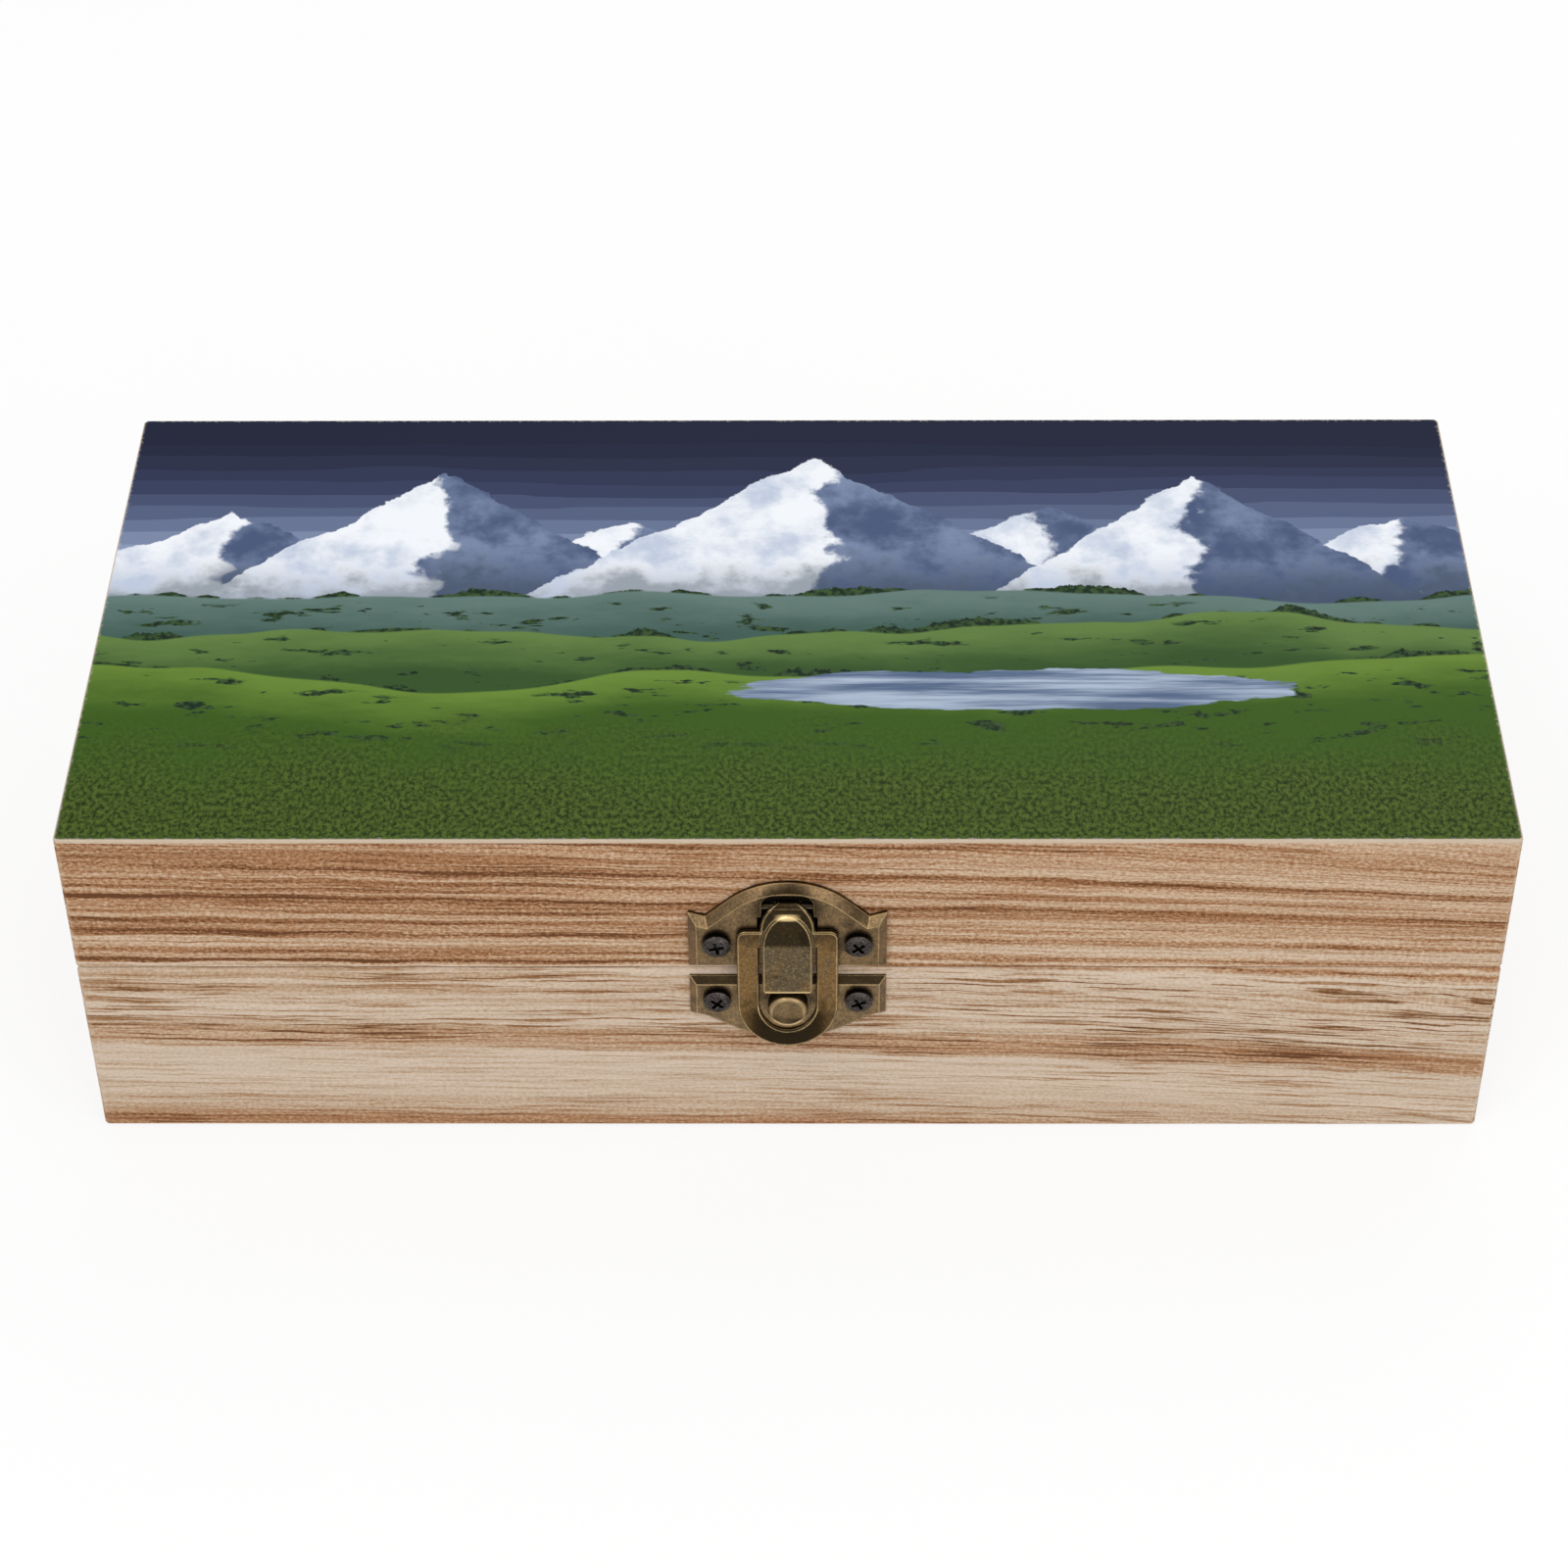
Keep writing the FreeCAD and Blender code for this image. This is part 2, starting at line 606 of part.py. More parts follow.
hasp_places = [(side * hasp_screw_x, hasp_screw_z, HASP_PLATE_THICKNESS) for side in (-1, 1)]
catch_places = [(side * catch_screw_x, catch_screw_z, CATCH_PLATE_THICKNESS) for side in (-1, 1)]
parts["hasp_plate"] = with_screw_holes(hasp_plate(), hasp_places, FRONT)
parts["hasp_plate_screws"] = screw_group(hasp_places, FRONT, (12, 38))
parts["hasp_pin"] = hasp_pin()
parts["hasp"] = hasp()
parts["catch_plate"] = with_screw_holes(catch_plate(), catch_places, FRONT)
parts["catch_plate_screws"] = screw_group(catch_places, FRONT, (52, 25))
parts["lid_front_wall"] = drilled(parts["lid_front_wall"], hasp_places, FRONT)
parts["base_front_wall"] = drilled(parts["base_front_wall"], catch_places, FRONT)

for side, x in hinge_places.items():
    base_places = hinge_screw_places(x, DOWN)
    lid_places = hinge_screw_places(x, UP)
    parts[f"hinge_{side}_base_leaf"] = hinge_leaf(x, DOWN)
    parts[f"hinge_{side}_lid_leaf"] = hinge_leaf(x, UP)
    parts[f"hinge_{side}_pin"] = hinge_pin(x)
    parts[f"hinge_{side}_base_screws"] = screw_group(base_places, BACK, (20, 65))
    parts[f"hinge_{side}_lid_screws"] = screw_group(lid_places, BACK, (80, 35))
    parts["base_back_wall"] = drilled(parts["base_back_wall"], base_places, BACK)
    parts["lid_back_wall"] = drilled(parts["lid_back_wall"], lid_places, BACK)

os.makedirs("parts", exist_ok=True)
for name, shape in parts.items():
    shape.exportStep(f"parts/{name}.step")
    print(name, len(shape.Solids), "solids", round(shape.Volume, 1), "mm3")
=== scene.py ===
"""Looks of a wooden storage box: materials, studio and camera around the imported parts."""
import math

import bpy
from mathutils import Matrix, Vector

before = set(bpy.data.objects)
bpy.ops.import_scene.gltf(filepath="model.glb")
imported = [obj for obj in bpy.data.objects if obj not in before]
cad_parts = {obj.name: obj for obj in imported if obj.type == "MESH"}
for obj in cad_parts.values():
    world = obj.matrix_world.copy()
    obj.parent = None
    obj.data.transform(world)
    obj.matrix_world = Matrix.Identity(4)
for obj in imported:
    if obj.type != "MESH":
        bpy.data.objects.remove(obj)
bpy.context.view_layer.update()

MM = 0.001
OCCLUSION_SAMPLES = 6
BEVEL_SAMPLES = 4
WHITE = (1.0, 1.0, 1.0, 1.0)

# The closed box in mm, as in the CAD.
HALF_WIDTH = 105.0
HALF_DEPTH = 50.0
HEIGHT = 60.0
SEAM_HEIGHT = 34.0


def srgb(red, green, blue):
    """A screen colour, 0 to 255, as the linear colour that a shader takes."""
    def linear(value):
        value /= 255
        return value / 12.92 if value <= 0.04045 else ((value + 0.055) / 1.055) ** 2.4
    return (linear(red), linear(green), linear(blue), 1.0)


class Field:
    """A value that varies over a surface: one socket of a node tree, with arithmetic that adds nodes."""

    def __init__(self, nodes, socket):
        self.nodes = nodes
        self.socket = socket

    def __add__(self, other):
        return self.nodes.math("ADD", self, other)

    def __radd__(self, other):
        return self.nodes.math("ADD", other, self)

    def __sub__(self, other):
        return self.nodes.math("SUBTRACT", self, other)

    def __rsub__(self, other):
        return self.nodes.math("SUBTRACT", other, self)

    def __mul__(self, other):
        return self.nodes.math("MULTIPLY", self, other)

    def __abs__(self):
        return self.nodes.math("ABSOLUTE", self)


class Nodes:
    """A node tree, built by short calls that take numbers or fields and return fields."""

    def __init__(self, tree):
        self.tree = tree

    def put(self, socket, value):
        """Links a field to a socket, or sets a plain number or colour on it."""
        if isinstance(value, Field):
            self.tree.links.new(value.socket, socket)
        else:
            socket.default_value = value

    def node(self, kind, inputs, output=0, **settings):
        """Adds a node and returns one of its outputs."""
        node = self.tree.nodes.new(kind)
        for key, value in settings.items():
            setattr(node, key, value)
        for key, value in inputs.items():
            self.put(node.inputs[key], value)
        return Field(self, node.outputs[output])

    def math(self, operation, first, second=0.0):
        return self.node("ShaderNodeMath", {0: first, 1: second}, operation=operation)

    def larger(self, first, second):
        return self.math("MAXIMUM", first, second)

    def smaller(self, first, second):
        return self.math("MINIMUM", first, second)

    def distance(self, x, y):
        """How far a point lies from the origin of two axes."""
        return self.math("SQRT", x * x + y * y)

    def smooth(self, value, low, high, start=0.0, end=1.0):
        """Goes smoothly from start, where value is low, to end, where it is high."""
        inputs = {"Value": value, "From Min": low, "From Max": high, "To Min": start, "To Max": end}
        return self.node("ShaderNodeMapRange", inputs, interpolation_type="SMOOTHSTEP")

    def seen(self):
        """1 for what the camera, gloss and glass see, 0 for light that falls on the object."""
        path = self.tree.nodes.new("ShaderNodeLightPath")
        camera = Field(self, path.outputs["Is Camera Ray"])
        gloss = Field(self, path.outputs["Is Glossy Ray"])
        glass = Field(self, path.outputs["Is Transmission Ray"])
        return self.larger(self.larger(camera, gloss), glass)


class Shader(Nodes):
    """One material's node tree."""

    def __init__(self, name):
        self.material = bpy.data.materials.new(name)
        self.material.use_nodes = True
        super().__init__(self.material.node_tree)
        self.bsdf = self.tree.nodes["Principled BSDF"]

    def split(self, vector):
        node = self.tree.nodes.new("ShaderNodeSeparateXYZ")
        self.put(node.inputs[0], vector)
        return [Field(self, output) for output in node.outputs]

    def millimetres(self):
        """The point's place in the part's frame at rest, in millimetres."""
        place = self.node("ShaderNodeTexCoord", {}, "Object")
        return self.split(self.node("ShaderNodeVectorMath", {0: place, "Scale": 1 / MM}, operation="SCALE"))

    def facing(self):
        """The surface normal in the part's frame at rest."""
        return self.split(self.node("ShaderNodeTexCoord", {}, "Normal"))

    def noise(self, x, y, z, detail=2.0, roughness=0.5):
        place = self.node("ShaderNodeCombineXYZ", {0: x, 1: y, 2: z})
        inputs = {"Vector": place, "Scale": 1.0, "Detail": detail, "Roughness": roughness}
        return self.node("ShaderNodeTexNoise", inputs)

    def noise_over(self, place, rates, detail=2.0, roughness=0.5):
        """Noise over a place in mm, with a rate per mm for each of its three axes."""
        x, y, z = (value * rate for value, rate in zip(place, rates))
        return self.noise(x, y, z, detail, roughness)

    def ramp(self, value, stops):
        """A colour or grey for each value, between stops that give a value and its colour or grey."""
        field = self.node("ShaderNodeValToRGB", {"Fac": value})
        elements = field.socket.node.color_ramp.elements
        for _ in stops[2:]:
            elements.new(0.5)
        for element, (place, _) in zip(elements, stops):
            element.position = place
        for element, (_, colour) in zip(elements, stops):
            element.color = colour if isinstance(colour, tuple) else (colour, colour, colour, 1.0)
        return field

    def mix(self, share, first, second, blend="MIX"):
        inputs = {0: share, 6: first, 7: second}
        return self.node("ShaderNodeMix", inputs, 2, data_type="RGBA", blend_type=blend)

    def hollows(self, reach):
        """Near 1 in corners and under overhangs, 0 on open faces."""
        inputs = {"Distance": reach * MM}
        outside = self.node("ShaderNodeAmbientOcclusion", inputs, "AO", samples=OCCLUSION_SAMPLES)
        return self.smooth(outside, 0.92, 0.35)

    def bevel(self, radius):
        """The normal with its edges rounded by a radius in mm."""
        return self.node("ShaderNodeBevel", {"Radius": radius * MM}, samples=BEVEL_SAMPLES)

    def bump(self, height, depth, strength, normal=None):
        inputs = {"Height": height, "Distance": depth * MM, "Strength": strength}
        if normal is not None:
            inputs["Normal"] = normal
        return self.node("ShaderNodeBump", inputs)

    def finish(self, **sockets):
        """Sets the shader's own sockets by name and returns the material."""
        for name, value in sockets.items():
            label = name.replace("_", " ").title().replace("Ior", "IOR")
            self.put(self.bsdf.inputs[label], value)
        return self.material


# Wood: growth rings as heights in mm on the front of the box, each with its darkness.
RING_SPAN = 72.0
RINGS = (
    (0.0, 0.66), (2.6, 0.80), (4.2, 0.43), (6.2, 0.30), (8.2, 0.22), (11.0, 0.14), (17.6, 0.12),
    (18.6, 0.40), (20.6, 0.57), (22.4, 0.37), (23.4, 0.24), (27.0, 0.20), (30.5, 0.32),
    (35.4, 0.26), (36.1, 0.96), (36.9, 0.40), (38.0, 0.96), (39.0, 0.42), (40.7, 0.40), (41.7, 0.98),
    (42.7, 0.50), (43.8, 0.74), (45.0, 0.50), (47.2, 0.72), (48.9, 0.90), (50.2, 0.52), (51.6, 0.76),
    (53.0, 0.52), (55.4, 0.90), (57.0, 0.52), (62.0, 0.78), (72.0, 0.46),
)
BAND_HEIGHT = 20.6
WOOD_TONES = (
    (0.00, srgb(211, 193, 174)),
    (0.16, srgb(199, 179, 158)),
    (0.32, srgb(187, 159, 131)),
    (0.52, srgb(167, 128, 95)),
    (0.76, srgb(140, 98, 63)),
    (1.00, srgb(97, 60, 31)),
)
RING_WARMTH = srgb(255, 247, 238)
STREAK_GREY = srgb(251, 254, 251)
# The colour of the painted shadow behind the hasp pin.
WOOD_PAINTED_SHADOW = srgb(26, 18, 11)

# The fall of the rings per mm to the right, and how it grows on the right half.
GRAIN_SLOPE = 0.020
GRAIN_BEND = 0.00035

# Rates of the wood's noises per mm: along the grain, across the rings and into the board.
DRIFT_RATES = (0.012, 0.03, 0.02)
RIPPLE_RATES = (0.07, 0.25, 0.1)
PATCH_RATES = (0.022, 0.16, 0.1)
BREAK_RATES = (0.03, 0.7, 0.5)
FIBRE_RATES = (0.007, 0.95, 0.8)
PORE_RATES = (0.045, 1.75, 1.5)
GRIT_RATES = (1.5, 2.2, 2.2)


def box_edge(s, x, y, z):
    """Distance in mm from a point on an outer face to the nearest edge of the closed box or of its seam."""
    ends = HALF_WIDTH - abs(x)
    faces = HALF_DEPTH - abs(y)
    levels = s.smaller(s.smaller(z, HEIGHT - z), abs(z - SEAM_HEIGHT))
    widest = s.larger(s.larger(ends, faces), levels)
    return ends + faces + levels - widest


def wood(name, axes, shift=(0.0, 0.0, 0.0), rings=1.0, shaded=None):
    """Bare wood. axes names the axis along the grain, the one across the rings and the one into the board,
    shift moves the board about in its tree, and rings is the strength of the growth rings.
    shaded takes the shader and the place in mm, and returns where painted shadow darkens the board."""
    s = Shader(name)
    place = dict(zip("xyz", s.millimetres()))
    facing = dict(zip("xyz", s.facing()))
    along, across, depth = (place[axis] + offset for axis, offset in zip(axes, shift))

    # The rings fall to the right, least of all near the seam, and waver on the way.
    right = s.larger(along, 0.0)
    spread = 0.9 - s.smooth(across, 22.0, 34.0) * 0.4 + s.smooth(across, 36.0, 58.0) * 0.75
    drop = ((along + HALF_WIDTH) * GRAIN_SLOPE + right * right * GRAIN_BEND) * spread
    drift = s.noise_over((along, across, depth), DRIFT_RATES) - 0.5
    ripple = s.noise_over((along, across, depth), RIPPLE_RATES, 3) - 0.5
    ring = across + drop + depth * 0.25 + drift * 2.0 + ripple * 1.3

    # Regions of the front: close rings on the lid, the dark band of the base and the pale wood below it.
    upper = s.smooth(ring, 33.0, 36.0)
    band = s.smooth(abs(ring - BAND_HEIGHT), 3.2, 1.2)
    below = s.smooth(ring, 22.0, 17.0)
    rightward = s.smooth(along, -50.0, 60.0)
    upper_left = upper * (1.0 - rightward)

    # Rings, sharper on the lid, and the band, fuller towards the right.
    growth = s.ramp(s.math("PINGPONG", ring, RING_SPAN) * (1 / RING_SPAN),
                    [(height / RING_SPAN, dark) for height, dark in RINGS])
    growth = s.math("POWER", growth, rightward * (upper * 0.75 - band * 0.30) + upper_left * 0.45 + 1.0)
    growth = growth * (1.0 + upper_left * 0.24)

    # Long fibre lines, short streaks of pores in patches, grit, and breaks in the rings.
    grain = (along, ring, depth)
    patch = s.smooth(s.noise_over(grain, PATCH_RATES, 3, 0.6), 0.36, 0.56)
    broken = s.noise_over(grain, BREAK_RATES, 3, 0.6)
    lines = s.smooth(s.noise_over(grain, FIBRE_RATES, 3, 0.62), 0.50, 0.56)
    pores = s.smooth(s.noise_over(grain, PORE_RATES, 3, 0.68), 0.50, 0.60)
    grit = s.noise_over(grain, GRIT_RATES, 2, 0.75) - 0.5

    # Darkness from all of these. End grain is darker, and edges are rubbed pale.
    dark = growth * (0.54 + upper * 0.02 + broken * (0.32 - upper * 0.16)) * rings
    dark = dark + lines * (0.11 - below * 0.07 + upper * (0.07 - rightward * 0.08) + growth * 0.24)
    streaks = patch * (0.52 + rightward * 0.20 - below * 0.36) * (1.0 - upper * 0.75)
    dark = dark + pores * (streaks + 0.03 + growth * 0.12)
    dark = dark + grit * (0.55 + upper * 0.45 + growth * 0.95) + upper * 0.025 + below * 0.035 - 0.055
    end = s.smooth(abs(facing[axes[0]]), 0.6, 0.9)
    dark = dark + end * (0.16 + grit * 0.4)
    edge = box_edge(s, *place.values())
    dark = dark * s.smooth(edge + (broken - 0.5) * 1.2, 0.1, 0.9, 0.45, 1.0)

    # Colour: warmer in the rings of the lid, greyer in the streaks of the base.
    colour = s.ramp(dark, WOOD_TONES)
    colour = s.mix(s.smooth(growth + upper * 0.30, 0.25, 0.75), colour, RING_WARMTH, "MULTIPLY")
    grey = s.smooth(growth, 0.50, 0.30) * s.smooth(dark, 0.20, 0.55)
    colour = s.mix(grey, colour, STREAK_GREY, "MULTIPLY")
    # Painted shadow on the front behind the hasp's cut-out.
    if shaded is not None:
        colour = s.mix(shaded(s, *place.values()), colour, WOOD_PAINTED_SHADOW)

    relief = grit * 0.5 - lines * 0.6 - pores * 0.5
    normal = s.bump(relief, 0.08, 0.8)
    roughness = s.smooth(dark, 0.0, 1.0, 0.52, 0.70)
    return s.finish(base_color=colour, roughness=roughness, normal=normal, specular_ior_level=0.2)


# Bronze of the latch and the hinges. Heights and places are in mm, as in the CAD.
# The dark of the bronze's patina, also used for its painted shade and painted dark reflection.
BRONZE_PATINA_AND_SHADE = srgb(30, 23, 13)
BRONZE_DULL = srgb(110, 91, 66)
BRONZE_WARM = srgb(130, 106, 76)
BRONZE_GOLD = srgb(206, 174, 124)
# Height of the painted shadow behind the hasp pin.
CUTOUT_SHADOW_HEIGHT = 46.6
TONGUE_CREST = 46.75
TONGUE_BREAK = 42.0
TONGUE_FOOT = 33.0
ARCH_HEIGHT = 48.0
NOSE_HEIGHT = 28.6
NOSE_RIM = 2.6


def bronze(name, dull, warm, gold, upturned_shade=0.92, painted_shade=None, painted_highlight=None, warmth=None):
    """Antique bronze: cloudy olive brown, gold along edges as rubbed wear and painted highlight, patina in
    corners with painted shade under overhanging parts, and painted dark reflection on upturned facets. The
    argument after gold is how dark that painted reflection is. The next two take the shader and the place
    in mm, and return how much painted shade and how much painted highlight that place of the piece has;
    warmth returns how brown it is.
    With painted shade given, facets below the break of the tongue stay clear of the painted reflection."""
    s = Shader(name)
    x, y, z = s.millimetres()
    upturned = s.facing()[2]
    cloud = s.noise(x * 0.42, y * 0.42, z * 0.42, 3, 0.6)
    stain = s.noise(x * 0.24, y * 0.24, z * 0.24 + 7.0, 3, 0.6)
    speck = s.noise(x * 2.6, y * 2.6, z * 2.6, 3, 0.7)
    scratch = s.noise(x * 6.0, y * 6.0, z * 0.7)
    rounded = s.bevel(0.25)
    true = s.node("ShaderNodeNewGeometry", {}, "Normal")
    turned = 1.0 - s.node("ShaderNodeVectorMath", {0: rounded, 1: true}, "Value", operation="DOT_PRODUCT")
    hollow = s.hollows(1.2)

    # The metal's own colour, with dark and bright flecks and darker stains.
    tone = cloud if warmth is None else cloud + warmth(s, x, y, z)
    colour = s.mix(s.smooth(tone, 0.34, 0.66), dull, warm)
    colour = s.mix(s.smooth(speck, 0.47, 0.70) * 0.42, colour, BRONZE_PATINA_AND_SHADE)
    colour = s.mix(s.smooth(speck, 0.47, 0.32) * 0.20, colour, gold)
    colour = s.mix(s.smooth(stain, 0.52, 0.72) * 0.45, colour, BRONZE_PATINA_AND_SHADE)

    # Painted dark reflection on upturned facets, the piece's own painted shade, and patina in corners with
    # painted shade under overhanging parts.
    dark = s.smooth(upturned + (cloud - 0.5) * 0.2, 0.03, 0.24)
    dark = dark * (upturned_shade + (stain - 0.5) * (1.0 - upturned_shade))
    if painted_shade is not None:
        clear = s.smooth(z, TONGUE_BREAK, TONGUE_BREAK + 0.8, 0.0, 0.9)
        dark = s.larger(dark * clear, painted_shade(s, x, y, z) * 0.95)
    colour = s.mix(dark, colour, BRONZE_PATINA_AND_SHADE)
    colour = s.mix(hollow * 0.85, colour, BRONZE_PATINA_AND_SHADE)

    # Gold along edges, as rubbed wear and painted highlight, and the piece's own painted highlights.
    rubbed_and_highlight = s.smooth(turned, 0.004, 0.07) * (1.0 - hollow * 0.7)
    rubbed_and_highlight = rubbed_and_highlight * s.smooth(cloud + speck * 0.5, 0.36, 0.80, 0.25, 1.0) * 0.85
    if painted_highlight is not None:
        rubbed_and_highlight = s.larger(rubbed_and_highlight, painted_highlight(s, x, y, z))
    colour = s.mix(rubbed_and_highlight, colour, gold)

    roughness = s.smooth(speck + cloud * 0.5, 0.5, 1.0, 0.30, 0.46)
    normal = s.bump(speck * 0.6 + scratch * 0.4, 0.03, 0.45, rounded)
    return s.finish(base_color=colour, metallic=1.0, roughness=roughness, normal=normal)


def cutout_painted_shadow(s, x, y, z):
    """Painted shadow on the lid's front behind the hasp pin."""
    level = s.smooth(abs(z - CUTOUT_SHADOW_HEIGHT), 5.2, 4.2)
    return s.smooth(abs(x), 5.6, 4.6) * level * s.smooth(y, 1.0 - HALF_DEPTH, 0.2 - HALF_DEPTH)


def lip_painted_shade(s, x, y, z):
    """Painted shade over the out-turned lip of the hasp, deepest at its middle, and on its shoulders."""
    lip = s.smooth(z, 30.4, 27.9) * s.smooth(abs(x), 4.2, 7.2, 1.0, 0.6)
    shoulder = s.smooth(z, 40.6, 43.6) * s.smooth(abs(x), 3.8, 4.3) * 0.6
    return s.larger(lip, shoulder)


def arm_warmth(s, x, y, z):
    """The arms of the hasp's loop are browner than its tongue."""
    return s.smooth(abs(x), 3.6, 4.2, -0.12, 0.14)


def arch_painted_shade(s, x, y, z):
    """Painted shade round the top of the hasp plate's cut-out."""
    return s.smooth(s.distance(x, (z - ARCH_HEIGHT) * 1.1), 6.2, 3.4)


def tongue_painted_highlight(s, x, y, z):
    """Painted highlight on the crest of the hasp's tongue and along its lower edge."""
    crest = s.smooth(abs(x), 2.2, 0.3) * s.smooth(abs(z - TONGUE_CREST), 0.55, 0.2)
    lower = s.smooth(abs(x), 3.7, 3.2) * s.smooth(abs(z - TONGUE_FOOT), 0.32, 0.12)
    return s.larger(crest, lower * 0.9) * s.smooth(y, -51.8, -52.2)


def nose_painted_highlight(s, x, y, z):
    """Painted highlight on the rim of the nose, most of all below."""
    rise = z - NOSE_HEIGHT
    rim = s.smooth(abs(s.distance(x, rise) - NOSE_RIM), 0.5, 0.15) * s.smooth(y, -52.4, -53.0)
    return rim * s.smooth(rise, 1.5, -2.0, 0.35, 1.0)


def black_steel(name):
    """Blackened screw steel: a grey face, with painted shade making its sides and recess black."""
    s = Shader(name)
    x, y, z = s.millimetres()
    face = abs(s.facing()[1])
    speck = s.noise(x * 4.0, y * 4.0, z * 4.0, 3, 0.6)
    colour = s.mix(s.smooth(speck, 0.35, 0.7), srgb(40, 37, 36), srgb(90, 83, 79))
    # Painted shade in the recess, then painted dark reflection on the sides of the heads.
    colour = s.mix(s.hollows(0.9) * 0.9, colour, srgb(10, 10, 11))
    colour = s.mix(s.smooth(face, 0.75, 0.45), colour, srgb(12, 12, 13))
    roughness = s.smooth(speck, 0.3, 0.7, 0.30, 0.44)
    normal = s.bump(speck, 0.02, 0.4, s.bevel(0.12))
    return s.finish(base_color=colour, metallic=1.0, roughness=roughness, normal=normal)


# Printed landscape, with places in mm on the lid. Its sky goes from pale at the horizon to dark.
SKY_TONES = (
    (0.00, srgb(172, 184, 206)),
    (0.25, srgb(134, 148, 178)),
    (0.50, srgb(90, 102, 134)),
    (0.75, srgb(54, 62, 92)),
    (1.00, srgb(27, 32, 54)),
)
SKY_STEP = 3.2

# Peaks from far to near: centre, top and steepness.
PEAKS = (
    (-88, 26, 0.62), (-25, 24, 0.55), (41, 27, 0.60), (96, 25, 0.60),
    (-55, 36, 0.85), (4, 40, 0.80), (64, 35, 0.90),
)

# Hills from far to near: level, rate of their swell per mm, height of the swell, light and deep green.
HILLS = (
    (5.0, 0.016, 9.0, srgb(98, 122, 116), srgb(62, 90, 82)),
    (-2.0, 0.022, 9.0, srgb(98, 126, 66), srgb(52, 80, 40)),
    (-12.0, 0.015, 12.0, srgb(104, 134, 54), srgb(58, 88, 28)),
)
LAKE_CENTRE = (34.0, -17.0)
LAKE_REACH = (46.0, 5.2)


def paint_peak(s, picture, x, y, centre, top, steepness):
    """Lays one snowy peak over the picture: lit from the left, rocky at its foot."""
    rough = s.noise(x * 0.10, y * 0.10, centre * 0.7, 5, 0.60) - 0.5
    ridge = s.noise(y * 0.10, centre * 0.3, 2.0) - 0.5
    outline = top - abs(x - centre) * steepness + rough * 9.0
    shadow = s.smooth(x - centre + ridge * 22.0 + rough * 16.0, -0.8, 1.2)
    lit = s.mix(s.smooth(rough, -0.10, 0.20), srgb(240, 243, 248), srgb(188, 199, 219))
    shade = s.mix(s.smooth(rough, -0.16, 0.14), srgb(122, 137, 168), srgb(72, 86, 120))
    rock = s.smooth(y + rough * 36.0, 14.0, 4.0)
    slope = s.mix(shadow, lit, shade)
    slope = s.mix(rock * 0.8, slope, s.mix(shadow, srgb(112, 124, 138), srgb(58, 72, 92)))
    return s.mix(s.smooth(outline - y, -0.15, 0.25), picture, slope)


def paint_hill(s, picture, x, y, count, level, rate, swell, light, deep):
    """Lays one hill over the picture, with a wooded crest and copses on its slope.
    count sets its noises apart from those of the other hills."""
    edge = level + (s.noise(x * rate, count * 7.3, 1.0) - 0.5) * swell * 2.0
    grove = s.smooth(s.noise(x * 0.055, count * 5.1, 9.0), 0.46, 0.62)
    crown = grove * (s.noise(x * 0.75, count * 3.1, 5.0, 3, 0.7) * 3.2 + 0.3)
    leafy = s.smooth(s.noise(x * 0.9, y * 0.9, count * 4.0, 3), 0.40, 0.62)
    leaf = s.mix(leafy, srgb(22, 40, 26), srgb(56, 80, 46))
    crest = s.smooth(edge + crown - y, -0.05, 0.2) * s.smooth(crown, 0.1, 0.4)
    picture = s.mix(crest, picture, leaf)
    field = s.noise(x * 0.03, y * 0.11, count * 2.0, 5, 0.65)
    depth = s.smooth(edge - y + (field - 0.5) * 14.0, -1.0, 11.0)
    picture = s.mix(s.smooth(edge - y, -0.1, 0.4), picture, s.mix(depth, light, deep))
    copse = s.smooth(s.noise(x * 0.11, y * 0.42, count * 6.0 + 2.0, 4, 0.6), 0.585, 0.62)
    return s.mix(copse * s.smooth(edge - y, 1.2, 2.4) * s.smooth(y, -34.0, -26.0), picture, leaf)


